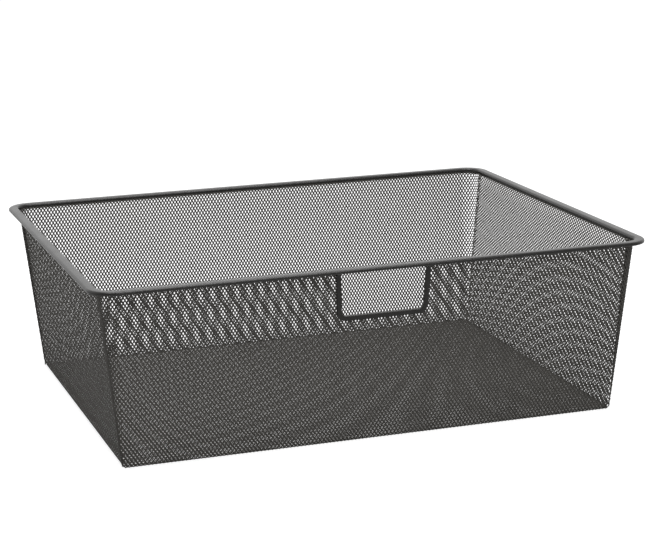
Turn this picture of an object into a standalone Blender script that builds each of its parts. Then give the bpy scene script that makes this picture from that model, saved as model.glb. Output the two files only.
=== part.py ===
"""Wire drawer basket: a tapered tray of diamond mesh hung from a flanged steel rim.

Metres, +Z up. X runs across the basket, -Y is the front with the hand opening. The origin is on the floor
under the middle. The rim's flanges rest on a pair of runners, and the basket slides out along -Y.
"""

import math

import bmesh
import bpy
from mathutils import Matrix, Vector

# Rim: one formed strip with a flat flange, an outer lip and an inner leg
rim_width = 0.550
rim_depth = 0.432
basket_height = 0.1743
rim_corner_radius = 0.0252
flange_width = 0.0098
lip_drop = 0.0034
leg_drop = 0.0054
rim_sheet = 0.0012
rim_bend_radius = 0.0020

# Mesh body: the floor, the radius of the corner folds at the floor, and how far under the rim's top the
# mesh ends, which is a little above the leg's lower edge
floor_width = 0.4908
floor_depth = 0.3694
floor_corner_radius = 0.0020
mesh_sheet = 0.0010
mesh_drop = 0.0037

# Diamonds: real sizes of one opening from strand centre to strand centre, and the strand's width.
# The net is drawn coarser than the real sheet: each drawn diamond is net_scale times as long.
diamond_short = 0.0036
diamond_long = 0.0059
strand_width = 0.00095
net_scale = 12.5

# Corner wraps: how far each reaches along the side wall past its bend, and how far the side wall's own mesh
# reaches under that edge
wrap_lap_at_floor = 0.0005
wrap_lap_at_rim = 0.0102
seam_overlap = 0.0050

# Hand opening in the front wall, measured inside its frame. Its depth is from the top of the rim to the sill,
# and its offset from the middle is towards +X.
opening_offset = 0.0025
opening_width_at_top = 0.0842
opening_width_at_sill = 0.0806
opening_depth = 0.0475
opening_corner_radius = 0.0050
frame_width = 0.0045
frame_sheet = 0.0008

# Clearance between pieces that touch
fit = 0.0003

# Facets
rim_corner_steps = 6
bend_steps = 3
wrap_steps = 6
opening_corner_steps = 5
smallest_gap_share = 0.22
smooth_angle = math.radians(25)

# Finish: dark warm-grey powder coat
coat_colour = (0.055, 0.054, 0.052, 1.0)
mesh_roughness = 0.55
rim_roughness = 0.42
coat_metallic = 0.25

# Directions of the four walls: the outward normal of each in plan
FRONT = Vector((0.0, -1.0, 0.0))
BACK = Vector((0.0, 1.0, 0.0))
LEFT = Vector((-1.0, 0.0, 0.0))
RIGHT = Vector((1.0, 0.0, 0.0))
UP = Vector((0.0, 0.0, 1.0))


# Derived sizes

# The mesh stands against the inner face of the rim's leg: the front and back walls and the wraps that grow
# out of them, and the side walls one sheet further in
leg_seat = mesh_sheet / 2 + fit
wrap_offset = mesh_sheet + fit
front_inset_at_rim = flange_width + leg_seat
side_inset_at_rim = front_inset_at_rim + wrap_offset
wall_corner_radius_at_rim = rim_corner_radius - side_inset_at_rim
wall_foot = fit
wall_top = basket_height - mesh_drop
opening_top = basket_height - leg_drop - 2 * fit
opening_sill = basket_height - opening_depth


def between(at_floor, at_rim, z):
    """A size that changes evenly from the floor to the top of the rim."""
    return at_floor + (at_rim - at_floor) * z / basket_height


def half_width(z):
    """Half the basket's width at height z, to the middle of the left and right walls' sheet."""
    return between(floor_width / 2, rim_width / 2 - side_inset_at_rim, z)


def half_depth(z):
    """Half the basket's depth at height z, to the middle of the front and back walls' sheet."""
    return between(floor_depth / 2, rim_depth / 2 - front_inset_at_rim, z)


def corner_radius(z):
    """Radius of the corner folds, to the middle of the sheet."""
    return between(floor_corner_radius, wall_corner_radius_at_rim, z)


# Helpers

def material(name, roughness):
    mat = bpy.data.materials.new(name)
    mat.use_nodes = True
    shader = mat.node_tree.nodes["Principled BSDF"]
    shader.inputs["Base Color"].default_value = coat_colour
    shader.inputs["Roughness"].default_value = roughness
    shader.inputs["Metallic"].default_value = coat_metallic
    mat.diffuse_color = coat_colour
    return mat


def finish(name, bm, mat):
    """Turn a bmesh into a named object with its round stretches shaded smooth."""
    bmesh.ops.recalc_face_normals(bm, faces=bm.faces)
    mesh = bpy.data.meshes.new(name)
    bm.to_mesh(mesh)
    bm.free()
    mesh.shade_smooth()
    mesh.set_sharp_from_angle(angle=smooth_angle)
    mesh.materials.append(mat)
    obj = bpy.data.objects.new(name, mesh)
    bpy.context.scene.collection.objects.link(obj)
    return obj


def thicken(obj):
    """Give a mesh sheet's middle surface its thickness, half to each side."""
    solid = obj.modifiers.new("sheet", "SOLIDIFY")
    solid.thickness = mesh_sheet
    solid.offset = 0.0
    solid.use_even_offset = True
    return obj


def skin(bm, loops, closed_along):
    """Faces between successive loops of points, each loop itself closed."""
    rings = [[bm.verts.new(point) for point in loop] for loop in loops]
    pairs = list(zip(rings, rings[1:]))
    if closed_along:
        pairs.append((rings[-1], rings[0]))
    for one, other in pairs:
        count = len(one)
        for i in range(count):
            j = (i + 1) % count
            bm.faces.new((one[i], one[j], other[j], other[i]))
    if not closed_along:
        bm.faces.new(rings[0])
        bm.faces.new(rings[-1])


def arc(centre, radius, start, end, steps):
    """Points on a circular arc in a plane, with both ends."""
    points = []
    for i in range(steps + 1):
        angle = start + (end - start) * i / steps
        points.append(Vector((centre[0] + radius * math.cos(angle), centre[1] + radius * math.sin(angle))))
    return points


# Net: a flat outline with diamond gaps

def clip(polygon, point, normal):
    """The part of a convex polygon on the side of a line that its normal points to."""
    kept = []
    for i, here in enumerate(polygon):
        after = polygon[(i + 1) % len(polygon)]
        side_here = (here - point).dot(normal)
        side_after = (after - point).dot(normal)
        if side_here >= 0:
            kept.append(here)
        if side_here * side_after < 0:
            kept.append(here.lerp(after, side_here / (side_here - side_after)))
    return kept


def area(polygon):
    total = 0.0
    for i, here in enumerate(polygon):
        after = polygon[(i + 1) % len(polygon)]
        total += here.x * after.y - here.y * after.x
    return abs(total) / 2


def inside_convex(polygon, outline, margin):
    """A convex polygon cut back to lie at least margin inside a convex outline that runs anticlockwise."""
    for i, start in enumerate(outline):
        edge = outline[(i + 1) % len(outline)] - start
        inward = Vector((-edge.y, edge.x)).normalized()
        polygon = clip(polygon, start + inward * margin, inward)
        if len(polygon) < 3:
            return []
    return polygon


def diamond(centre, across, up, strand):
    """One gap: the lattice diamond drawn in by half a strand on each side."""
    side = math.hypot(across / 2, up / 2)
    shrink = 1 - strand * side / (across * up / 2)
    half_across = across / 2 * shrink
    half_up = up / 2 * shrink
    corners = ((half_across, 0.0), (0.0, half_up), (-half_across, 0.0), (0.0, -half_up))
    return [centre + Vector(corner) for corner in corners]


def diamond_gaps(outline, across, up, base, notch=None):
    """Gaps of a net inside an outline, clear of a notch. A strand crossing lies at (0, base)."""
    strand = strand_width * net_scale
    least = smallest_gap_share * area(diamond(Vector((0.0, 0.0)), across, up, strand))
    reach_x = max(abs(p.x) for p in outline)
    reach_y = max(p.y for p in outline)
    low_y = min(p.y for p in outline)
    gaps = []
    for row in range(math.floor((low_y - base) / (up / 2)) - 1, math.ceil((reach_y - base) / (up / 2)) + 2):
        shift = 0.0 if row % 2 else across / 2
        for column in range(-math.ceil(reach_x / across) - 1, math.ceil(reach_x / across) + 2):
            centre = Vector((column * across + shift, base + row * up / 2))
            gap = inside_convex(diamond(centre, across, up, strand), outline, strand / 2)
            if gap and notch:
                sides = [clip(gap, point, normal) for point, normal in notch]
                gap = max(sides, key=lambda side: area(side) if len(side) > 2 else 0.0)
            if len(gap) > 2 and area(gap) > least:
                gaps.append(gap)
    return gaps


def net(name, outline, gaps, place, mat):
    """A panel of mesh: the outline filled round its gaps in a plane, then thickened."""
    bm = bmesh.new()
    edges = []
    for loop in [outline] + gaps:
        verts = [bm.verts.new((point.x, point.y, 0.0)) for point in loop]
        for i, vert in enumerate(verts):
            edges.append(bm.edges.new((vert, verts[(i + 1) % len(verts)])))
    bmesh.ops.triangle_fill(bm, use_beauty=True, use_dissolve=False, edges=edges, normal=UP)
    obj = finish(name, bm, mat)
    obj.matrix_world = place
    return thicken(obj)


# Mesh body

def wall_place(outward, foot):
    """Frame of a wall's plane: x along the wall, y up its slope, origin at floor level."""
    top = half_depth(basket_height) if outward.x == 0 else half_width(basket_height)
    slope = (outward * (top - foot) + UP * basket_height).normalized()
    along = slope.cross(outward).normalized()
    normal = along.cross(slope)
    columns = Matrix((along, slope, normal)).transposed().to_4x4()
    return Matrix.Translation(outward * foot) @ columns


def up_slope(z, outward):
    """Distance up a wall's slope of height z."""
    if outward.x == 0:
        run = half_depth(basket_height) - half_depth(0.0)
    else:
        run = half_width(basket_height) - half_width(0.0)
    return z * math.hypot(1.0, run / basket_height)


def wall_outline(half_length, outward):
    """Trapezium of a wall panel, anticlockwise, from its foot to its edge behind the leg."""
    low = half_length(wall_foot)
    high = half_length(wall_top)
    foot = up_slope(wall_foot, outward)
    top = up_slope(wall_top, outward)
    return [Vector((-low, foot)), Vector((low, foot)), Vector((high, top)), Vector((-high, top))]


def front_half(z):
    """Half the length of the flat part of the front or back wall."""
    return half_width(z) - corner_radius(z) - fit


def side_half(z):
    """Half the length of the side walls, which end a little way under the edge of the corner wraps."""
    at_floor = half_depth(0.0) - corner_radius(0.0) - wrap_offset - fit
    wrap_flat = half_depth(basket_height) - corner_radius(basket_height) - wrap_offset
    at_rim = wrap_flat - wrap_lap_at_rim + seam_overlap
    return between(at_floor, at_rim, z)


def floor_panel(mat):
    half_x = half_width(0.0) - mesh_sheet / 2 - fit
    half_y = half_depth(0.0) - mesh_sheet / 2 - fit
    cut = floor_corner_radius + wrap_offset
    outline = []
    for sx in (-1, 1):
        for sy in (-1, 1):
            outline.append(Vector((sx * (half_x - cut), sy * half_y)))
            outline.append(Vector((sx * half_x, sy * (half_y - cut))))
    outline.sort(key=lambda point: math.atan2(point.y, point.x))
    gaps = diamond_gaps(outline, diamond_short * net_scale, diamond_long * net_scale, 0.0)
    place = Matrix.Translation(UP * mesh_sheet / 2)
    return net("mesh_floor", outline, gaps, place, mat)


def opening_outline(grow):
    """The hand opening's edge in the front wall's plane, grown outward: down one side, along and up."""
    top = up_slope(opening_top, FRONT)
    half_top = opening_width_at_top / 2 + grow
    half_low = opening_width_at_sill / 2 + grow
    sill = up_slope(opening_sill, FRONT) - grow
    radius = opening_corner_radius + grow
    lean = math.atan2(half_top - half_low, top - sill)
    tangent = radius * math.tan((math.pi / 2 - lean) / 2)
    right = arc((half_low - tangent, sill + radius), radius, -math.pi / 2, -lean, opening_corner_steps)
    points = right + [Vector((half_top, top))]
    left = [Vector((-p.x, p.y)) for p in reversed(points)]
    return [Vector((p.x + opening_offset, p.y)) for p in left + points]


def front_panel(mat):
    """Front wall, with the bay for the hand opening cut down from its top edge."""
    flat = wall_outline(front_half, FRONT)
    bay = opening_outline(frame_sheet + fit)
    top = flat[2].y
    bay[0].y = top
    bay[-1].y = top
    outline = flat[:3] + list(reversed(bay)) + flat[3:]
    margin = strand_width * net_scale / 2
    left = min(p.x for p in bay) - margin
    right = max(p.x for p in bay) + margin
    sill = min(p.y for p in bay) - margin
    notch = [(Vector((left, 0.0)), Vector((-1.0, 0.0))),
             (Vector((right, 0.0)), Vector((1.0, 0.0))),
             (Vector((0.0, sill)), Vector((0.0, -1.0)))]
    gaps = diamond_gaps(flat, diamond_short * net_scale, diamond_long * net_scale, flat[0].y, notch)
    return net("mesh_front", outline, gaps, wall_place(FRONT, half_depth(0.0)), mat)


def back_panel(mat):
    outline = wall_outline(front_half, BACK)
    gaps = diamond_gaps(outline, diamond_short * net_scale, diamond_long * net_scale, outline[0].y)
    return net("mesh_back", outline, gaps, wall_place(BACK, half_depth(0.0)), mat)


def side_panel(name, outward, mat):
    """Left or right wall. The sheet is the floor's, folded up, so its diamonds lie on their sides here."""
    outline = wall_outline(side_half, outward)
    gaps = diamond_gaps(outline, diamond_long * net_scale, diamond_short * net_scale, outline[0].y)
    return net(name, outline, gaps, wall_place(outward, half_width(0.0)), mat)


def corner_wrap(name, sx, sy, mat):
    """The strip that bends round a corner from the front or back wall and laps onto the side wall."""
    bm = bmesh.new()
    rulings = []
    for step in range(wrap_steps + 2):
        ends = []
        for z in (wall_foot, wall_top):
            radius = corner_radius(z) + wrap_offset
            centre_x = half_width(z) - corner_radius(z)
            centre_y = half_depth(z) - radius
            angle = min(step, wrap_steps) * math.pi / 2 / wrap_steps
            x = centre_x + radius * math.sin(angle)
            y = centre_y + radius * math.cos(angle)
            if step > wrap_steps:
                y -= between(wrap_lap_at_floor, wrap_lap_at_rim, z)
            ends.append(bm.verts.new((sx * x, sy * y, z)))
        rulings.append(ends)
    for one, other in zip(rulings, rulings[1:]):
        bm.faces.new((one[0], other[0], other[1], one[1]))
    bmesh.ops.triangulate(bm, faces=bm.faces)
    return thicken(finish(name, bm, mat))


# Rim

def rounded_rectangle(half_x, half_y, radius, z):
    points = []
    for quarter, (sx, sy) in enumerate(((1, 1), (-1, 1), (-1, -1), (1, -1))):
        start = quarter * math.pi / 2
        centre = (sx * (half_x - radius), sy * (half_y - radius))
        points += arc(centre, radius, start, start + math.pi / 2, rim_corner_steps)
    return [Vector((p.x, p.y, z)) for p in points]


def outer_loop(inset, z):
    """Line round the rim at a distance in from its outer edge."""
    return rounded_rectangle(rim_width / 2 - inset, rim_depth / 2 - inset, rim_corner_radius - inset, z)


def leg_loop(out, z):
    """Line round the rim at a distance out from the middle of the wraps' sheet, so the leg leans as they do."""
    out_from_side = wrap_offset + out
    return rounded_rectangle(half_width(z) + out_from_side, half_depth(z) + out,
                             corner_radius(z) + out_from_side, z)


def rim_flange(mat):
    """The strip's section carried round the basket: lip, bend, flange, bend and leg."""
    bend_height = basket_height - rim_bend_radius
    lip_foot = basket_height - lip_drop
    leg_foot = basket_height - leg_drop
    under = basket_height - rim_sheet
    loops = [outer_loop(0.0, lip_foot)]
    for p in arc((rim_bend_radius, bend_height), rim_bend_radius, math.pi, math.pi / 2, bend_steps):
        loops.append(outer_loop(p.x, p.y))
    for p in arc((leg_seat + rim_bend_radius, bend_height), rim_bend_radius, math.pi / 2, math.pi, bend_steps):
        loops.append(leg_loop(p.x, p.y))
    loops.append(leg_loop(leg_seat, leg_foot))
    loops.append(leg_loop(leg_seat + rim_sheet, leg_foot))
    loops.append(leg_loop(leg_seat + rim_sheet, under))
    loops.append(outer_loop(rim_sheet, under))
    loops.append(outer_loop(rim_sheet, lip_foot))
    bm = bmesh.new()
    skin(bm, loops, closed_along=True)
    return finish("rim_flange", bm, mat)


# Handle frame

def handle_frame(mat):
    """U channel that edges the hand opening, its slot holding the cut edge of the mesh."""
    reach = mesh_sheet / 2 + fit + frame_sheet
    slot = reach - frame_sheet
    section = [(0.0, -reach), (0.0, reach), (frame_width, reach), (frame_width, slot),
               (frame_sheet, slot), (frame_sheet, -slot), (frame_width, -slot), (frame_width, -reach)]
    along = []
    for grow, height in section:
        along.append([Vector((p.x, p.y, height)) for p in opening_outline(grow)])
    loops = [list(ring) for ring in zip(*along)]
    bm = bmesh.new()
    skin(bm, loops, closed_along=False)
    obj = finish("handle_frame", bm, mat)
    obj.matrix_world = wall_place(FRONT, half_depth(0.0))
    return obj


def build():
    for obj in list(bpy.data.objects):
        bpy.data.objects.remove(obj, do_unlink=True)
    mesh_coat = material("mesh_powder_coat", mesh_roughness)
    rim_coat = material("rim_powder_coat", rim_roughness)
    frame_coat = material("frame_powder_coat", rim_roughness)
    floor_panel(mesh_coat)
    front_panel(mesh_coat)
    back_panel(mesh_coat)
    side_panel("mesh_left", LEFT, mesh_coat)
    side_panel("mesh_right", RIGHT, mesh_coat)
    for end, sy in (("front", -1), ("back", 1)):
        for side, sx in (("left", -1), ("right", 1)):
            corner_wrap(f"corner_wrap_{end}_{side}", sx, sy, mesh_coat)
    rim_flange(rim_coat)
    handle_frame(frame_coat)


build()
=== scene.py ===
"""Wire drawer basket, dressed: true-pitch diamond mesh, formed rim, framed hand opening.

Metres, +Z up. X runs across the basket, -Y is the front with the hand opening, and the floor lies on z = 0.
"""
import math

import bmesh
import bpy
import numpy as np
from mathutils import Euler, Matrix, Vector


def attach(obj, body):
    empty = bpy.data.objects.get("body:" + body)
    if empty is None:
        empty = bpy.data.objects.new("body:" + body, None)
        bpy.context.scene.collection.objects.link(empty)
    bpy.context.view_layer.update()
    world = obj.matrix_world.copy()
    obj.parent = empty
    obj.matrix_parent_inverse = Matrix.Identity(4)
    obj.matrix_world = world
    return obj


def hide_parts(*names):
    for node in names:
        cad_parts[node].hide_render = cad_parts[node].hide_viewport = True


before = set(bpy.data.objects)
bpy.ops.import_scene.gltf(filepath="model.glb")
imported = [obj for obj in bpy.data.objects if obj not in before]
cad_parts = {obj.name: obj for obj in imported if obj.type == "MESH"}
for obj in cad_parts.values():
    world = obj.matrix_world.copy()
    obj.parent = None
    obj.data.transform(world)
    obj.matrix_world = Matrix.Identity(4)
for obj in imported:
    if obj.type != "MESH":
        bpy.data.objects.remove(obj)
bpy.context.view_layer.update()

# The basket's sizes, as in the solids that the dressed pieces stand for
rim_width = 0.550
rim_depth = 0.432
basket_height = 0.1743
rim_corner_radius = 0.0252
flange_width = 0.0098
lip_drop = 0.0034
leg_drop = 0.0054
rim_sheet = 0.0012
rim_bend_radius = 0.0020
floor_width = 0.4908
floor_depth = 0.3694
floor_corner_radius = 0.0020
solid_sheet = 0.0010
mesh_drop = 0.0037
wrap_lap_at_floor = 0.0005
wrap_lap_at_rim = 0.0102
seam_overlap = 0.0050
opening_offset = 0.0025
opening_width_at_top = 0.0842
opening_width_at_sill = 0.0806
opening_depth = 0.0475
opening_corner_radius = 0.0050
frame_width = 0.0045
frame_sheet = 0.0008
fit = 0.0003

# Places that follow from them: the leg clears the wall's solid, and the side walls stand inside the strips
# of the front and back walls' sheet that wrap round the corners
leg_seat = solid_sheet / 2 + fit
wrap_offset = solid_sheet + fit
front_inset_at_rim = flange_width + leg_seat
side_inset_at_rim = front_inset_at_rim + wrap_offset
wall_corner_radius_at_rim = rim_corner_radius - side_inset_at_rim
wall_top = basket_height - mesh_drop
opening_top = basket_height - leg_drop - 2 * fit
opening_sill = basket_height - opening_depth

# The mesh as it is cut: its sheet, its strands, and how far the right and the upper corner of each hole are
# turned out of the sheet's plane. The left and the lower corner are turned in as far. The mesh is one folded
# sheet, so a turn towards its back goes up the back wall and down the front wall.
sheet = 0.00030
strand_width = 0.00128
side_strand_width = 0.00113
wall_turn_across = 0.00050
wall_turn_back = 0.00030
side_turn_across = 0.00011
side_turn_up = -0.00020
floor_turn_across = -0.00050
floor_turn_back = 0.00008
floor_middle = sheet / 2 + abs(floor_turn_across)

# Pitches of the diamonds from panel to panel, across the wall and up it. The sheet gives a little as it is
# pulled open and folded, so no two walls are quite alike: a side pull spreads the cells towards one side, an
# end pull towards both, and a lean or a rise pull shifts them across with their height.
floor_pitch = (0.003606, 0.005855)
front_pitch = (0.003739, 0.005732)
front_side_pull = -0.0208
front_lean = -0.0141
back_pitch = (0.003480, 0.005730)
back_end_pull = 0.158
back_lean = -0.0119
back_rise_pull = 0.145
left_pitch = (0.006155, 0.003525)
right_pitch = (0.006055, 0.003556)
side_lean = 0.080

# The fold between floor and walls, how far joined pieces reach into each other, and the bend that takes a
# side wall's top out to the rim's leg
fold_radius = 0.00065
fold_flat = 0.00030
fold_swell = 0.00006
weld_reach = 0.00020
floor_hem = fold_radius + fold_flat - weld_reach
wall_foot = floor_middle + floor_hem
side_bend_height = 0.0120
side_bend_run = 0.0160

# How near to each other the net's points are joined, how near to a cut they count as on it, and how much
# wider than its panel the even net is laid out before it leans
join_reach = strand_width / 20
cut_reach = 1e-7
spare_width = 0.2 * basket_height

# Rounded edges and facets of the rim, the folds and the hand frame
edge_round = 0.00035
edge_steps = 3
rim_bend_steps = 6
rim_corner_steps = 20
floor_corner_steps = 10
fold_steps = 4
frame_nose_steps = 4
opening_corner_steps = 12
bend_table_steps = 400
sharp_angle = math.radians(50)
quarter = math.pi / 2

# Powder coat: clouds, grain and painted glint specks per metre, and what each adds to the shade and the
# roughness
cloud_scale = 38.0
grain_scale = 1500.0
glint_speck_scale = 900.0
glint_speck_size = 0.10
glint_speck_cover = 0.25
glint_brightness = 4
cloud_in_shade = 0.6
grain_in_shade = 0.4
cloud_in_roughness = 0.16
grain_in_roughness = 0.10
grain_strength = 0.35

# Studio: the ground's shade and its glow as seen and as mirrored, and a world that is dimmer in reflections
# on the camera's side of the basket than behind it
ground_size = 12.0
ground_drop = 0.0002
ground_shade = 0.65
ground_glow_seen = 0.8
ground_glow_mirrored = 0.2
world_light = 0.34
world_mirrored_middle = 0.7
world_mirrored_rise = 1.5

# The camera that sees the basket as the photograph does
camera_place = (-0.62688, -1.91396, 0.60400)
camera_turn = (math.radians(76.287), math.radians(0.971), math.radians(-18.920))
camera_lens = 109.859
camera_sensor = 36.0


# Sizes that change from the floor to the rim

def between(at_floor, at_rim, z):
    return at_floor + (at_rim - at_floor) * z / basket_height


def half_width(z):
    """From the middle to a side wall."""
    return between(floor_width / 2, rim_width / 2 - side_inset_at_rim, z)


def half_depth(z):
    """From the middle to the front or back wall."""
    return between(floor_depth / 2, rim_depth / 2 - front_inset_at_rim, z)


def corner_radius(z):
    return between(floor_corner_radius, wall_corner_radius_at_rim, z)


def strip_edge(z, lap):
    """From a side wall's middle to the edge of the corner strip that laps on it."""
    return half_depth(z) - corner_radius(z) - wrap_offset - lap


def wall_spread(half_size):
    """How far a wall moves out for each metre that it stands up."""
    return (half_size(basket_height) - half_size(0.0)) / basket_height


def wall_rise(half_size):
    """How much longer a wall is up its slope than it is tall."""
    run = half_size(basket_height) - half_size(0.0)
    return math.hypot(run, basket_height) / basket_height


# Node trees

class Flow:
    """One output of a node. Sums and products of flows add the Math nodes that work them out."""

    def __init__(self, bench, socket):
        self.bench = bench
        self.socket = socket

    def other(self, name):
        """Another output of the same node."""
        return Flow(self.bench, self.socket.node.outputs[name])

    def maths(self, operation, *values):
        return self.bench.add("ShaderNodeMath", {"operation": operation}, dict(enumerate(values)))

    def __add__(self, other):
        return self.maths("ADD", self, other)

    def __sub__(self, other):
        return self.maths("SUBTRACT", self, other)

    def __rsub__(self, other):
        return self.maths("SUBTRACT", other, self)

    def __mul__(self, other):
        return self.maths("MULTIPLY", self, other)

    def __truediv__(self, other):
        return self.maths("DIVIDE", self, other)

    def __gt__(self, other):
        return self.maths("GREATER_THAN", self, other)

    def __lt__(self, other):
        return self.maths("LESS_THAN", self, other)

    def root(self):
        return self.maths("SQRT", self)

    def clamped(self):
        return self.bench.add("ShaderNodeClamp", {}, {"Value": self})

    __radd__ = __add__
    __rmul__ = __mul__


class Bench:
    """Builds one node tree."""

    def __init__(self, tree):
        self.tree = tree
        tree.nodes.clear()

    def add(self, kind, settings, inputs, output=0):
        """A node of a kind: its settings first, then the values and links of its sockets."""
        node = self.tree.nodes.new(kind)
        for name, value in settings.items():
            setattr(node, name, value)
        for key, value in inputs.items():
            for one in value if isinstance(value, list) else [value]:
                if isinstance(one, Flow):
                    self.tree.links.new(one.socket, node.inputs[key])
                else:
                    node.inputs[key].default_value = one
        return Flow(self, node.outputs[output]) if node.outputs else node

    def split(self, vector):
        """The x, y and z of a vector."""
        x = self.add("ShaderNodeSeparateXYZ", {}, {0: vector})
        return x, x.other(1), x.other(2)

    def mixed(self, share, one, other):
        """From one colour to the other."""
        return self.add("ShaderNodeMix", {"data_type": "RGBA"}, {0: share, 6: one, 7: other}, output=2)


# The diamond mesh

net_sizes = ["Across pitch", "Up pitch", "Strand", "Turn across", "Turn up", "Lean", "Side pull", "End pull",
             "Rise pull", "Shift up", "Left at foot", "Left slope", "Right at foot", "Right slope"]


def diamond_net_tree():
    """Geometry Nodes for one panel: a ring of four strand halves set out on two crossed grids."""
    tree = bpy.data.node_groups.new("diamond_net", "GeometryNodeTree")
    bench = Bench(tree)
    for name in net_sizes:
        tree.interface.new_socket(name, in_out="INPUT", socket_type="NodeSocketFloat")
    for name in ("Columns", "Rows"):
        tree.interface.new_socket(name, in_out="INPUT", socket_type="NodeSocketInt")
    tree.interface.new_socket("Material", in_out="INPUT", socket_type="NodeSocketMaterial")
    tree.interface.new_socket("Geometry", in_out="OUTPUT", socket_type="NodeSocketGeometry")
    given = tree.nodes.new("NodeGroupInput")
    size = {item.name: Flow(bench, given.outputs[item.name]) for item in tree.interface.items_tree
            if item.in_out == "INPUT"}

    def place():
        return bench.split(bench.add("GeometryNodeInputPosition", {}, {}))

    def combined(x, y, z):
        return bench.add("ShaderNodeCombineXYZ", {}, {0: x, 1: y, 2: z})

    def pulled():
        """Where the sheet's give moves a point of the even net."""
        x, y, z = place()
        pull = size["Side pull"] * x * x + size["End pull"] * x * x * x
        return x + pull + size["Lean"] * y + size["Rise pull"] * y * y, y, z

    # One diamond: its edge runs along the middle of the strands, and its hole is the same shape, smaller
    across = size["Across pitch"] * 0.5
    up = size["Up pitch"] * 0.5
    slant = (across * across + up * up).root()
    hole_share = 1 - size["Strand"] * 0.5 * slant / (across * up)
    loop = bench.add("GeometryNodeMeshCircle", {"fill_type": "NONE"}, {"Vertices": 4, "Radius": 1.0})
    ring = bench.add("GeometryNodeExtrudeMesh", {"mode": "EDGES"}, {"Mesh": loop, "Offset Scale": 0.0})
    x, y, _ = place()
    turned = x * size["Turn across"] + y * size["Turn up"]
    hole = bench.add("GeometryNodeSetPosition", {}, {
        "Geometry": ring, "Selection": ring.other("Top"),
        "Position": combined(x * hole_share, y * hole_share, turned)})
    diamond = bench.add("GeometryNodeTransform", {}, {"Geometry": hole, "Scale": combined(across, up, 1.0)})

    # Two crossed grids of cell middles, of which those between the panel's left and right lines are kept
    width = size["Across pitch"] * size["Columns"]
    height = size["Up pitch"] * size["Rows"]
    grid = bench.add("GeometryNodeMeshGrid", {}, {
        "Size X": width, "Size Y": height,
        "Vertices X": size["Columns"] + 1, "Vertices Y": size["Rows"] + 1})
    crossed = bench.add("GeometryNodeTransform", {}, {
        "Geometry": grid, "Translation": combined(across, up, 0.0)})
    both = bench.add("GeometryNodeJoinGeometry", {}, {"Geometry": [grid, crossed]})
    middles = bench.add("GeometryNodeTransform", {}, {
        "Geometry": both, "Translation": combined(0.0, size["Shift up"] + height * 0.5, 0.0)})
    x, y, _ = pulled()
    left = x < size["Left at foot"] + size["Left slope"] * y
    right = x > size["Right at foot"] + size["Right slope"] * y
    kept = bench.add("GeometryNodeDeleteGeometry", {"domain": "POINT"}, {
        "Geometry": middles, "Selection": left + right})

    # A diamond at each, joined into one net that gives as the sheet does
    cells = bench.add("GeometryNodeInstanceOnPoints", {}, {"Points": kept, "Instance": diamond})
    real = bench.add("GeometryNodeRealizeInstances", {}, {"Geometry": cells})
    joined = bench.add("GeometryNodeMergeByDistance", {}, {"Geometry": real, "Distance": join_reach})
    given_way = bench.add("GeometryNodeSetPosition", {}, {
        "Geometry": joined, "Position": combined(*pulled())})
    coated = bench.add("GeometryNodeSetMaterial", {}, {
        "Geometry": given_way, "Material": size["Material"]})
    bench.add("NodeGroupOutput", {}, {0: coated})
    return tree


def settled(carrier):
    """The plain mesh that an object's modifiers make, in place of the object."""
    carrier.update_tag()
    evaluated = carrier.evaluated_get(bpy.context.evaluated_depsgraph_get())
    mesh = bpy.data.meshes.new_from_object(evaluated)
    bpy.data.objects.remove(carrier)
    return mesh


def flat_net(tree, sizes, columns, rows, coat):
    """One panel's net, flat, as a plain mesh."""
    carrier = bpy.data.objects.new("net", bpy.data.meshes.new("net"))
    bpy.context.scene.collection.objects.link(carrier)
    maker = carrier.modifiers.new("net", "NODES")
    maker.node_group = tree
    values = dict(sizes, Columns=columns, Rows=rows, Material=coat)
    for item in tree.interface.items_tree:
        if item.in_out == "INPUT":
            maker[item.identifier] = values[item.name]
    return settled(carrier)


def trimmed(mesh, cuts, bay=None):
    """The flat net cut along straight lines, each a point and the direction to clear, and without the faces
    whose middles lie in a bay."""
    bm = bmesh.new()
    bm.from_mesh(mesh)
    for spot, away in cuts:
        bmesh.ops.bisect_plane(bm, geom=bm.verts[:] + bm.edges[:] + bm.faces[:], dist=cut_reach,
                               plane_co=(*spot, 0.0), plane_no=(*away, 0.0), clear_outer=True)
    if bay:
        cleared = [face for face in bm.faces if bay(face.calc_center_median())]
        bmesh.ops.delete(bm, geom=cleared, context="FACES")
    for face in bm.faces:
        if face.normal.z < 0:
            face.normal_flip()
    bm.to_mesh(mesh)
    bm.free()
    return mesh


def points_of(mesh):
    """All x, all y and all z of a mesh's points."""
    flat = np.empty(len(mesh.vertices) * 3)
    mesh.vertices.foreach_get("co", flat)
    return flat.reshape(-1, 3).T


def held_level(mesh, fold, apex, low, high):
    """The flat net of a corner strip, ended level round the bend: what would stand past the foot or the top
    goes, and the ends of the strands slide along the bend's rulings to meet the line."""
    level = fold(*points_of(mesh))[:, 2]
    bm = bmesh.new()
    bm.from_mesh(mesh)
    lost = [face for face in bm.faces
            if min(level[v.index] for v in face.verts) > high - fit
            or max(level[v.index] for v in face.verts) < low + fit]
    for vert, z in zip(bm.verts, level):
        goal = min(max(z, low), high)
        share = (goal - apex[2]) / (z - apex[2])
        for axis, middle in ((0, apex[0]), (1, apex[1])):
            vert.co[axis] = middle + (vert.co[axis] - middle) * share
    bmesh.ops.delete(bm, geom=lost, context="FACES")
    bm.to_mesh(mesh)
    bm.free()
    return mesh


def thickened(mesh):
    """The net with the sheet's thickness, half of it to each side."""
    carrier = bpy.data.objects.new("sheet", mesh)
    bpy.context.scene.collection.objects.link(carrier)
    solid = carrier.modifiers.new("sheet", "SOLIDIFY")
    solid.thickness = sheet
    solid.offset = 0.0
    return settled(carrier)


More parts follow.
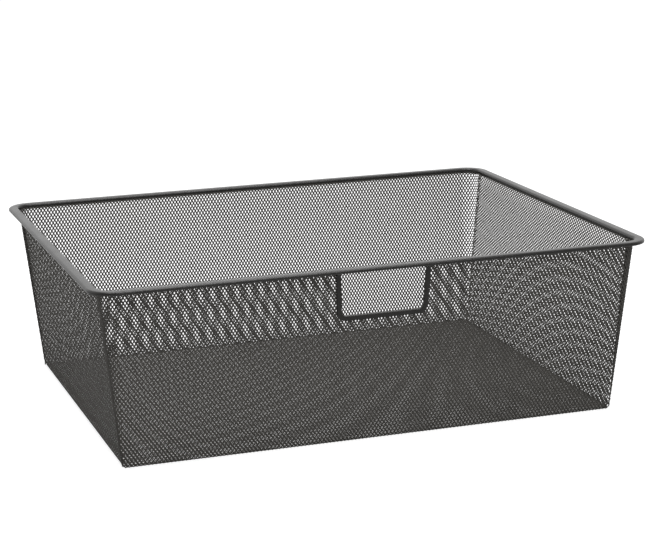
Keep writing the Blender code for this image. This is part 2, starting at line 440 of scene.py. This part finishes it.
def folded(mesh, fold):
    """Every point of the flat, thick net moved to its place on the basket."""
    mesh.vertices.foreach_set("co", fold(*points_of(mesh)).ravel())
    mesh.update()
    return mesh


def finished(name, mesh, node):
    """A finished piece: faces outwards, riding on the basket, standing for its solid."""
    bm = bmesh.new()
    bm.from_mesh(mesh)
    if bm.calc_volume(signed=True) < 0:
        bmesh.ops.reverse_faces(bm, faces=bm.faces)
    bm.to_mesh(mesh)
    bm.free()
    piece = bpy.data.objects.new(name, mesh)
    bpy.context.scene.collection.objects.link(piece)
    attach(piece, "root")
    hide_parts(node)
    return piece


# Lines on the flat sheet, each given by its place at the foot and its slope per metre up

def level_cuts(low, high):
    """Cuts that clear what is below the low line and above the high one."""
    return [((0.0, low), (0.0, -1.0)), ((0.0, high), (0.0, 1.0))]


def slant_cut(side, line):
    """A cut along a line that clears the left (-1) or right (+1) of it."""
    foot, slope = line
    return (foot, 0.0), (side, -side * slope)


def other_way(line):
    """The same line on the other side of the middle."""
    return -line[0], -line[1]


def past(line, pitch):
    """The line one cell further out."""
    return line[0] + pitch[0], line[1]


def mesh_piece(name, node, tree, pitch, turn, sides, span, cuts, fold, bay=None, level=None, **give):
    """One piece of the mesh body, from its pitches to its place. Whole cells are kept between its two side
    lines. span is how far it runs up the sheet, and give is what its net has in place of the plain sizes."""
    (left_foot, left_slope), (right_foot, right_slope) = sides
    reach = max(abs(left_foot), abs(right_foot)) + spare_width
    sizes = dict.fromkeys(net_sizes, 0.0)
    sizes.update({"Across pitch": pitch[0], "Up pitch": pitch[1], "Strand": strand_width,
                  "Turn across": turn[0], "Turn up": turn[1], "Shift up": span[0] - pitch[1],
                  "Left at foot": left_foot, "Left slope": left_slope,
                  "Right at foot": right_foot, "Right slope": right_slope})
    sizes.update(give)
    columns = 2 * math.ceil(reach / pitch[0])
    rows = math.ceil((span[1] - span[0]) / pitch[1]) + 2
    net = flat_net(tree, sizes, columns, rows, mesh_coat_with_painted_light)
    net = trimmed(net, cuts, bay)
    if level:
        net = held_level(net, fold, *level)
    return finished(name, folded(thickened(net), fold), node)


# Folds: from the flat sheet (across, up, out) to the basket

def eased(share):
    """From 0 to 1 and level at both ends."""
    share = np.clip(share, 0.0, 1.0)
    return share * share * (3 - 2 * share)


def bend_to_leg(across, up):
    """How far a side wall's top is bent out to the rim's leg, between the strips that lap on it."""
    z = up / wall_rise(half_width)
    gap = wrap_offset + leg_seat - sheet / 2 - abs(side_turn_up) - weld_reach
    clear = strip_edge(z, wrap_lap_at_rim) - abs(across)
    return (gap * eased((z - wall_top + side_bend_height) / side_bend_height)
            * eased(clear / side_bend_run))


def wall_fold(half_size, side, along_x):
    """The fold of a flat wall: the front or back one, which runs along X, or else a side wall."""
    rise = wall_rise(half_size)
    lean = wall_spread(half_size) / rise

    def fold(across, up, out):
        if not along_x:
            out = out + bend_to_leg(across, up)
        z = up / rise - out * lean
        away = side * (half_size(0.0) + up * lean + out / rise)
        if along_x:
            return np.stack([across, away, z], 1)
        return np.stack([away, across, z], 1)
    return fold


def floor_fold(across, up, out):
    return np.stack([across, up, out + floor_middle], 1)


def unit_rows(rows):
    """Each row of x, y and z made one long."""
    return rows / np.linalg.norm(rows, axis=1)[:, None]


class CornerBend:
    """The cone that a corner's strip of mesh is bent round, in the corner where x and y are positive. Its
    straight rulings fan out from an apex under the floor, from the back wall's plane to the side wall's."""

    def __init__(self):
        foot_radius = corner_radius(0.0) + wrap_offset
        radius_step = (corner_radius(basket_height) - corner_radius(0.0)) / basket_height
        middle_step = Vector((wall_spread(half_width) - radius_step, wall_spread(half_depth) - radius_step))
        apex_z = -foot_radius / radius_step
        rise = wall_rise(half_depth)
        self.apex = np.array([half_width(0.0) - corner_radius(0.0) + middle_step.x * apex_z,
                              half_depth(0.0) - foot_radius + middle_step.y * apex_z, apex_z])
        self.apex_up = apex_z * rise
        self.start = math.atan2(middle_step.x, rise)

        # A table of rulings round the bend, the angle swept to each, and which way the sheet faces there
        turn = np.linspace(0.0, quarter, bend_table_steps)
        self.ruling = unit_rows(np.stack([middle_step.x + radius_step * np.sin(turn),
                                          middle_step.y + radius_step * np.cos(turn),
                                          np.ones_like(turn)], 1))
        swept = np.linalg.norm(np.diff(self.ruling, axis=0), axis=1)
        self.swing = np.concatenate([[0.0], np.cumsum(swept)])
        self.out = unit_rows(np.cross(self.ruling, np.gradient(self.ruling, axis=0)))
        if self.out[0][1] < 0:
            self.out = -self.out

        # Which way the flat sheet runs on from the first and the last ruling
        self.first_along = np.cross(self.out[0], self.ruling[0])
        if self.first_along[0] < 0:
            self.first_along = -self.first_along
        last_out = np.array([1.0, 0.0, -wall_spread(half_width)])
        last_out /= np.linalg.norm(last_out)
        self.last_along = np.cross(last_out, self.ruling[-1])
        if self.last_along[1] > 0:
            self.last_along = -self.last_along

    def looked_up(self, table, angle):
        """A direction from one of the tables at each angle past the first ruling."""
        lead = np.clip(angle, self.swing[0], self.swing[-1])
        return unit_rows(np.stack([np.interp(lead, self.swing, column) for column in table.T], 1))

    def fold(self, across, up, out):
        """Points of the flat sheet on the wall, round the bend, or past it along the side."""
        reach = np.hypot(across - self.apex[0], up - self.apex_up)
        angle = np.arctan2(across - self.apex[0], up - self.apex_up) - self.start
        before = np.minimum(angle, 0.0)[:, None]
        after = np.maximum(angle - self.swing[-1], 0.0)[:, None]
        extra = before + after
        along = np.where(after > 0, self.last_along, self.first_along)
        way = self.looked_up(self.ruling, angle) * np.cos(extra) + along * np.sin(extra)
        return self.apex + reach[:, None] * way + self.looked_up(self.out, angle) * out[:, None]

    def flat(self, spot):
        """Where a point of the side wall's lap lies on the flat sheet."""
        arm = np.array(spot) - self.apex
        angle = math.atan2(arm @ self.last_along, arm @ self.ruling[-1]) + self.swing[-1] + self.start
        reach = np.linalg.norm(arm)
        return self.apex[0] + reach * math.sin(angle), self.apex_up + reach * math.cos(angle)


corner_bend = CornerBend()


def corner_fold(sx, sy):
    """The fold of the strip at the corner on the sx and sy sides."""
    def fold(across, up, out):
        return corner_bend.fold(sx * across, up, out) * np.array([sx, sy, 1.0])
    return fold


# Formed strip and channel

def arc(centre, radius, start, end, steps):
    """Points round an arc from one angle to another."""
    return [Vector((centre[0] + radius * math.cos(start + (end - start) * k / steps),
                    centre[1] + radius * math.sin(start + (end - start) * k / steps)))
            for k in range(steps + 1)]


def rounded_rectangle(half_x, half_y, radius, z, steps):
    """Points round a level rectangle with rounded corners, seen from above against the clock."""
    points = []
    for corner, (sx, sy) in enumerate(((1, 1), (-1, 1), (-1, -1), (1, -1))):
        start = corner * quarter
        centre = (sx * (half_x - radius), sy * (half_y - radius))
        points += arc(centre, radius, start, start + quarter, steps)
    return [Vector((p.x, p.y, z)) for p in points]


def outer_loop(inset, z):
    """Round the basket, parallel to the rim's outer edge."""
    return rounded_rectangle(rim_width / 2 - inset, rim_depth / 2 - inset, rim_corner_radius - inset, z,
                             rim_corner_steps)


def leg_loop(out, z):
    """Round the basket, parallel to the walls."""
    from_side = wrap_offset + out
    return rounded_rectangle(half_width(z) + from_side, half_depth(z) + out, corner_radius(z) + from_side, z,
                             rim_corner_steps)


def fold_loop(inset, z):
    """Round the floor, parallel to its edge."""
    return rounded_rectangle(floor_width / 2 - inset, floor_depth / 2 - inset,
                             floor_corner_radius + fold_radius - inset, z, floor_corner_steps)


def skin(bm, loops, closed_along):
    """Faces between neighbouring loops of a section carried along a path."""
    rings = [[bm.verts.new(point) for point in loop] for loop in loops]
    pairs = zip(rings, rings[1:] + rings[:1]) if closed_along else zip(rings, rings[1:])
    for one, other in pairs:
        for k in range(len(one)):
            n = (k + 1) % len(one)
            bm.faces.new((one[k], one[n], other[n], other[k]))
    if not closed_along:
        bm.faces.new(list(reversed(rings[0])))
        bm.faces.new(rings[-1])


def made(name, bm, node, coat):
    """A formed piece from its bmesh: smooth but for its sharp edges, and coated."""
    bmesh.ops.recalc_face_normals(bm, faces=bm.faces)
    for face in bm.faces:
        face.smooth = True
    mesh = bpy.data.meshes.new(name)
    bm.to_mesh(mesh)
    bm.free()
    mesh.materials.append(coat)
    mesh.set_sharp_from_angle(angle=sharp_angle)
    return finished(name, mesh, node)


def rim_strip():
    """Lip, bend, flange, bend and leg, with the strip's cut edges rounded."""
    under = basket_height - rim_sheet
    bend_height = basket_height - rim_bend_radius
    lip_foot = basket_height - lip_drop + edge_round
    leg_foot = basket_height - leg_drop + edge_round
    leg_back = leg_seat + rim_sheet

    lip = arc((edge_round, lip_foot), edge_round, -quarter, -2 * quarter, edge_steps)
    lip += arc((rim_bend_radius, bend_height), rim_bend_radius, 2 * quarter, quarter, rim_bend_steps)
    lip_inside = arc((rim_sheet - edge_round, lip_foot), edge_round, 0.0, -quarter, edge_steps)
    leg_bend = (leg_seat + rim_bend_radius, bend_height)
    leg = arc(leg_bend, rim_bend_radius, quarter, 2 * quarter, rim_bend_steps)
    leg += arc((leg_seat + edge_round, leg_foot), edge_round, 2 * quarter, 3 * quarter, edge_steps)
    leg += arc((leg_back - edge_round, leg_foot), edge_round, -quarter, 0.0, edge_steps)

    loops = [outer_loop(p.x, p.y) for p in lip]
    loops += [leg_loop(p.x, p.y) for p in leg]
    loops += [leg_loop(leg_back, under - edge_round), leg_loop(leg_back + edge_round, under)]
    loops += [outer_loop(rim_sheet + edge_round, under), outer_loop(rim_sheet, under - edge_round)]
    loops += [outer_loop(p.x, p.y) for p in lip_inside]
    bm = bmesh.new()
    skin(bm, loops, closed_along=True)
    return made("rim", bm, "rim_flange", rim_coat_with_painted_shade)


def floor_edge():
    """The fold where the floor turns up into the walls. Inside it is a little thicker than the sheet."""
    reach = sheet / 2 + fold_swell
    middle = (fold_radius, floor_middle + fold_radius)
    section = [Vector((fold_radius + fold_flat, floor_middle - sheet / 2))]
    section += arc(middle, fold_radius + sheet / 2, -quarter, -2 * quarter, fold_steps)
    section += [Vector((-reach, middle[1] + fold_flat)), Vector((reach, middle[1] + fold_flat))]
    section += arc(middle, fold_radius - reach, -2 * quarter, -quarter, fold_steps)
    section += [Vector((fold_radius + fold_flat, floor_middle + reach))]
    bm = bmesh.new()
    skin(bm, [fold_loop(p.x, p.y) for p in section], closed_along=True)
    return made("floor_edge", bm, "mesh_floor", mesh_coat_with_painted_light)


def opening_outline(grow):
    """The hand opening's edge in the front wall's plane, grown outward: down one side, along and up."""
    rise = wall_rise(half_depth)
    top = opening_top * rise
    half_top = opening_width_at_top / 2 + grow
    half_low = opening_width_at_sill / 2 + grow
    sill = opening_sill * rise - grow
    radius = opening_corner_radius + grow
    lean = math.atan2(half_top - half_low, top - sill)
    tangent = radius * math.tan((quarter - lean) / 2)
    right = arc((half_low - tangent, sill + radius), radius, -quarter, -lean, opening_corner_steps)
    right += [Vector((half_top, top))]
    left = [Vector((-p.x, p.y)) for p in reversed(right)]
    return [Vector((p.x + opening_offset, p.y)) for p in left + right]


held_edge = opening_outline(frame_width / 2)


def in_hand_opening(spot):
    """Whether a point of the front wall's flat net lies inside the line where the frame takes hold of it."""
    sill = held_edge[len(held_edge) // 2].y
    if spot.y < sill or not held_edge[0].x < spot.x < held_edge[-1].x:
        return False
    for one, other in zip(held_edge, held_edge[1:]):
        along = other - one
        if along.x * (spot.y - one.y) - along.y * (spot.x - one.x) < 0:
            return False
    return True


def hand_frame():
    """The channel that edges the hand opening. Its nose is rounded and its slot takes the net's cut edge."""
    slot = solid_sheet / 2 + fit
    reach = slot + frame_sheet
    nose = frame_sheet
    edge = frame_width - edge_round
    section = arc((nose, -reach + nose), nose, -quarter, -2 * quarter, frame_nose_steps)
    section += arc((nose, reach - nose), nose, 2 * quarter, quarter, frame_nose_steps)
    section += arc((edge, reach - edge_round), edge_round, quarter, 0.0, edge_steps)
    section += [Vector((frame_width, slot)), Vector((frame_sheet, slot)), Vector((frame_sheet, -slot)),
                Vector((frame_width, -slot))]
    section += arc((edge, -reach + edge_round), edge_round, 0.0, -quarter, edge_steps)
    fold = wall_fold(half_depth, -1, along_x=True)
    runs = []
    for p in section:
        outline = opening_outline(p.x)
        across = np.array([q.x for q in outline])
        up = np.array([q.y for q in outline])
        runs.append([Vector(spot) for spot in fold(across, up, np.full(len(outline), p.y))])
    bm = bmesh.new()
    skin(bm, [list(ring) for ring in zip(*runs)], closed_along=False)
    return made("hand_frame", bm, "handle_frame", frame_coat_with_painted_shade)


# Finishes, with painted light, shade and glints in their colours

def powder_coat(name, dark, light, roughness, shine, grain_depth):
    """Dark powder coat: cloudy shade, fine pebbled grain, bright specks painted in as glints, and a little
    more shine where it has flowed out.
    """
    coat = bpy.data.materials.new(name)
    coat.use_nodes = True
    bench = Bench(coat.node_tree)
    where = bench.add("ShaderNodeTexCoord", {}, {}).other("Object")
    cloud = bench.add("ShaderNodeTexNoise", {}, {"Vector": where, "Scale": cloud_scale, "Detail": 3.0,
                                                 "Roughness": 0.55})
    grain = bench.add("ShaderNodeTexNoise", {}, {"Vector": where, "Scale": grain_scale, "Detail": 2.0,
                                                 "Roughness": 0.6})
    # Bright specks painted into the colour stand in for the coat's sparkle: painted glints.
    glint_speck = bench.add("ShaderNodeTexVoronoi", {}, {"Vector": where, "Scale": glint_speck_scale})
    shade = (cloud * cloud_in_shade + grain * grain_in_shade).clamped()
    glint_share = (glint_speck < glint_speck_size) * glint_speck_cover
    glint_colour = (*(glint_brightness * part for part in light[:3]), 1.0)
    colour = bench.mixed(glint_share, bench.mixed(shade, dark, light), glint_colour)
    rough = roughness + (cloud - 0.5) * cloud_in_roughness + (grain - 0.5) * grain_in_roughness
    pebble = bench.add("ShaderNodeBump", {}, {"Height": grain, "Strength": grain_strength,
                                              "Distance": grain_depth})
    surface = bench.add("ShaderNodeBsdfPrincipled", {}, {
        "Base Color": colour, "Roughness": rough, "Specular IOR Level": shine, "Normal": pebble})
    bench.add("ShaderNodeOutputMaterial", {}, {"Surface": surface})
    coat.diffuse_color = light
    return coat


# The basket has one powder coat. This mesh copy is made several times lighter than the rim's: painted light
# that brightens the strands in place of a lamp.
mesh_coat_with_painted_light = powder_coat("mesh_powder_coat", dark=(0.077, 0.0738, 0.0686, 1.0),
                        light=(0.138, 0.1322, 0.1229, 1.0), roughness=0.50, shine=0.05, grain_depth=0.00004)
# The rim's and the hand frame's copies of the same coat are made darker: painted shade on the rim's lip and
# leg and on the frame bar.
rim_coat_with_painted_shade = powder_coat("rim_powder_coat", dark=(0.014, 0.0134, 0.0123, 1.0),
                       light=(0.027, 0.0258, 0.0236, 1.0), roughness=0.25, shine=0.42, grain_depth=0.00003)
frame_coat_with_painted_shade = powder_coat("frame_powder_coat", dark=(0.019, 0.0181, 0.0166, 1.0),
                         light=(0.036, 0.0343, 0.0314, 1.0), roughness=0.38, shine=0.25, grain_depth=0.00003)


# The basket

def floor_pieces(tree):
    """The floor's mesh, in three parts that each stay small enough to export whole."""
    half_x = floor_width / 2 - floor_hem
    half_y = floor_depth / 2 - floor_hem
    cuts = level_cuts(-half_y, half_y) + [slant_cut(-1, (-half_x, 0.0)), slant_cut(1, (half_x, 0.0))]
    inner = floor_width / 6
    outer = half_x + floor_pitch[0]
    for part, left, right in (("left", -outer, -inner), ("middle", -inner, inner), ("right", inner, outer)):
        mesh_piece(f"floor_mesh_{part}", "mesh_floor", tree, floor_pitch,
                   (floor_turn_across, floor_turn_back), ((left, 0.0), (right, 0.0)),
                   (-half_y, half_y), cuts, floor_fold)


def strip_lines():
    """Where a corner strip folds off the wall and where its seam runs, as lines on the flat sheet."""
    fold_slope = math.tan(corner_bend.start)
    fold_line = (corner_bend.apex[0] - corner_bend.apex_up * fold_slope, fold_slope)
    ends = []
    for z, lap in ((0.0, wrap_lap_at_floor), (basket_height, wrap_lap_at_rim)):
        ends.append(corner_bend.flat((half_width(z) + wrap_offset, strip_edge(z, lap), z)))
    (low_x, low_y), (high_x, high_y) = ends
    seam_slope = (high_x - low_x) / (high_y - low_y)
    return fold_line, (low_x - seam_slope * low_y, seam_slope)


def wall_and_strips(tree, wall, sy, pitch, bay=None, **give):
    """The front or back wall in two halves, and the strips of its sheet that go round the corners. A strip's
    net starts one whole cell below the wall's, so that the two meet strand to strand."""
    node = f"mesh_{wall}"
    rise = wall_rise(half_depth)
    span = (wall_foot * rise, wall_top * rise)
    strip_span = (span[0] - pitch[1], basket_height * rise + rim_corner_radius)
    turn = (wall_turn_across, sy * wall_turn_back)
    fold = wall_fold(half_depth, sy, along_x=True)
    middle = (opening_offset, 0.0)
    fold_line, seam_line = strip_lines()
    for side, sides in (("left", (other_way(fold_line), middle)), ("right", (middle, fold_line))):
        mesh_piece(f"{wall}_mesh_{side}", node, tree, pitch, turn, sides, span, level_cuts(*span), fold, bay,
                   **give)

    outside = past(seam_line, pitch)
    for side, sx, sides, seam in (
            ("left", -1, (other_way(outside), other_way(fold_line)), other_way(seam_line)),
            ("right", 1, (fold_line, outside), seam_line)):
        apex = (sx * corner_bend.apex[0], corner_bend.apex_up, corner_bend.apex[2])
        mesh_piece(f"{wall}_{side}_corner_mesh", f"corner_wrap_{wall}_{side}", tree, pitch, turn, sides,
                   strip_span, [slant_cut(sx, seam)], corner_fold(sx, sy),
                   level=(apex, wall_foot, wall_top), **give)


def side_walls(tree):
    """The left and right walls, whose slanting ends lie under the corner strips."""
    rise = wall_rise(half_width)
    span = (wall_foot * rise, wall_top * rise)
    at_floor = strip_edge(0.0, fit)
    at_rim = strip_edge(basket_height, wrap_lap_at_rim) + seam_overlap
    end_line = (at_floor, (at_rim - at_floor) / (basket_height * rise))
    cuts = level_cuts(*span) + [slant_cut(-1, other_way(end_line)), slant_cut(1, end_line)]
    for side, sx, pitch in (("left", -1, left_pitch), ("right", 1, right_pitch)):
        outside = past(end_line, pitch)
        mesh_piece(f"{side}_mesh", f"mesh_{side}", tree, pitch, (side_turn_across, sx * side_turn_up),
                   (other_way(outside), outside), span, cuts, wall_fold(half_width, sx, along_x=False),
                   Strand=side_strand_width, Lean=side_lean)


def mesh_body():
    """Floor, walls and corner strips, each from its own pitches."""
    tree = diamond_net_tree()
    floor_pieces(tree)
    wall_and_strips(tree, "front", -1, front_pitch, in_hand_opening,
                    **{"Side pull": front_side_pull, "Lean": front_lean})
    wall_and_strips(tree, "back", 1, back_pitch,
                    **{"End pull": back_end_pull, "Lean": back_lean, "Rise pull": back_rise_pull})
    side_walls(tree)


mesh_body()
floor_edge()
rim_strip()
hand_frame()


# Studio

white = (1.0, 1.0, 1.0, 1.0)


def white_ground():
    """Pale floor that shows as white, with the basket's shadow on it."""
    bpy.ops.mesh.primitive_plane_add(size=ground_size, location=(0.0, 0.0, -ground_drop))
    ground = bpy.context.object
    ground.name = "ground"
    paint = bpy.data.materials.new("ground_white")
    paint.use_nodes = True
    bench = Bench(paint.node_tree)
    seen = bench.add("ShaderNodeLightPath", {}, {})
    mirrored = (seen.other("Is Glossy Ray") + seen.other("Is Transmission Ray")).clamped()
    strength = seen.other("Is Camera Ray") * ground_glow_seen + mirrored * ground_glow_mirrored
    matt = bench.add("ShaderNodeBsdfDiffuse", {}, {"Color": (ground_shade, ground_shade, ground_shade, 1.0)})
    glow = bench.add("ShaderNodeEmission", {}, {"Color": white, "Strength": strength})
    surface = bench.add("ShaderNodeAddShader", {}, {0: matt, 1: glow})
    bench.add("ShaderNodeOutputMaterial", {}, {"Surface": surface})
    ground.data.materials.append(paint)


def soft_world():
    """White behind the basket, and soft light all round."""
    world = bpy.data.worlds.new("studio")
    bpy.context.scene.world = world
    world.use_nodes = True
    bench = Bench(world.node_tree)
    path = bench.add("ShaderNodeLightPath", {}, {})
    _, back, _ = bench.split(bench.add("ShaderNodeTexCoord", {}, {}).other("Generated"))
    dimmed = (back * world_mirrored_rise + world_mirrored_middle).clamped()
    seen = path.other("Is Camera Ray") + path.other("Is Glossy Ray") * dimmed
    seen = (seen + path.other("Is Transmission Ray")).clamped()
    strength = world_light + seen * (1.0 - world_light)
    sky = bench.add("ShaderNodeBackground", {}, {"Color": white, "Strength": strength})
    bench.add("ShaderNodeOutputWorld", {}, {"Surface": sky})


def softbox(name, place, aim, width, height, power):
    """A wide soft lamp that faces the point it is aimed at."""
    data = bpy.data.lights.new(name, "AREA")
    data.shape = "RECTANGLE"
    data.size = width
    data.size_y = height
    data.energy = power
    lamp = bpy.data.objects.new(name, data)
    bpy.context.scene.collection.objects.link(lamp)
    lamp.location = place
    lamp.rotation_euler = (Vector(aim) - Vector(place)).to_track_quat("-Z", "Y").to_euler()


def camera():
    data = bpy.data.cameras.new("camera")
    data.lens = camera_lens
    data.sensor_width = camera_sensor
    seat = bpy.data.objects.new("camera", data)
    bpy.context.scene.collection.objects.link(seat)
    seat.location = camera_place
    seat.rotation_euler = Euler(camera_turn)
    bpy.context.scene.camera = seat


white_ground()
soft_world()
softbox("overhead", place=(0.0, 0.1, 1.9), aim=(0.0, 0.0, 0.1), width=1.2, height=0.8, power=20.0)
softbox("from_front", place=(0.5, -1.7, 1.9), aim=(0.0, 0.0, 0.08), width=1.0, height=0.5, power=10.0)
camera()
bpy.context.scene.view_settings.view_transform = "Standard"
